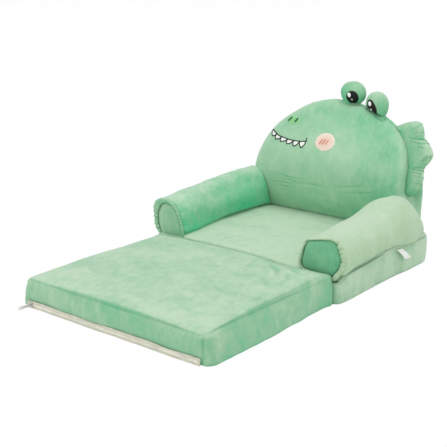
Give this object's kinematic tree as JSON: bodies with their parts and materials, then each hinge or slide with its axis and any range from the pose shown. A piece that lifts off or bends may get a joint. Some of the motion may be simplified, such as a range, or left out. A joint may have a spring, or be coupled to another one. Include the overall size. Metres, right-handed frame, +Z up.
{
  "type": "kids flip open sofa",
  "caption": "Low plush child's sofa with stuffed arms, a rounded animal-face backrest and a foam pad that flips out from under the seat to make a lounger.",
  "frame": {"origin": "on the floor, under the middle of the opened sofa, close to the fold between seat and pad", "axes": "+X to the sitter's left hand seen from the front (the crest side), +Y from the pad to the backrest, +Z up"},
  "size_m": [0.5586, 0.9352, 0.4274],
  "materials": {
    "plush": "short pile plush",
    "plush_deep": "short pile plush, deeper tone",
    "foam": "open-cell foam",
    "filling": "loose fibre filling",
    "sheet_cloth": "non-slip cloth",
    "black_felt": "smooth felt",
    "white_felt": "smooth felt",
    "dark_thread": "satin stitch",
    "green_thread": "satin stitch",
    "light_patch": "smooth felt",
    "pink_felt": "smooth felt",
    "orange_thread": "satin stitch",
    "satin": "satin",
    "tape": "woven tape",
    "zip_plastic": "coil",
    "slider_metal": "painted",
    "pull_plastic": "moulded"
  },
  "bodies": {
    "sofa": {"base_cover": "plush", "backrest_cover": "plush", "arm_cover_left": "plush", "arm_cover_right": "plush", "arm_end_welt_left": "plush", "arm_end_welt_right": "plush", "eye_left": "plush", "eye_right": "plush", "crest": "plush", "arm_end_panel_left": "plush_deep", "arm_end_panel_right": "plush_deep", "base_foam": "foam", "backrest_filling": "filling", "arm_filling_left": "filling", "arm_filling_right": "filling", "base_bottom_panel": "sheet_cloth", "hinge_strip": "sheet_cloth", "eye_patches": "black_felt", "eye_highlights": "white_felt", "teeth": "white_felt", "mouth_line": "dark_thread", "nostrils": "green_thread", "nostril_patch": "light_patch", "cheek_patch": "pink_felt", "cheek_strokes": "orange_thread", "side_label": "satin"},
    "flip_pad": {"pad_cover": "plush", "pad_foam": "foam", "pad_bottom_panel": "sheet_cloth", "zipper_tape_upper": "tape", "zipper_tape_lower": "tape", "zipper_chain": "zip_plastic", "zipper_stops": "zip_plastic"},
    "zipper_slider": {"zipper_slider": "slider_metal"},
    "zipper_pull": {"zipper_pull": "pull_plastic"}
  },
  "joints": [
    {"name": "pad_flip", "type": "hinge", "parent": "sofa", "child": "flip_pad", "pos_m": [0, 0.00255, -0.0002], "axis": [1, 0, 0], "range_deg": [0, 180], "deforming": ["hinge_strip"]},
    {"name": "zipper_slide", "type": "slide", "parent": "flip_pad", "child": "zipper_slider", "axis": [1, 0, 0], "range_m": [0, 0.462], "deforming": ["zipper_chain"]},
    {"name": "zipper_pull_swing", "type": "hinge", "parent": "zipper_slider", "child": "zipper_pull", "pos_m": [-0.231, -0.43555, 0.0095], "axis": [0, 0, 1], "range_deg": [-88, 88]}
  ]
}
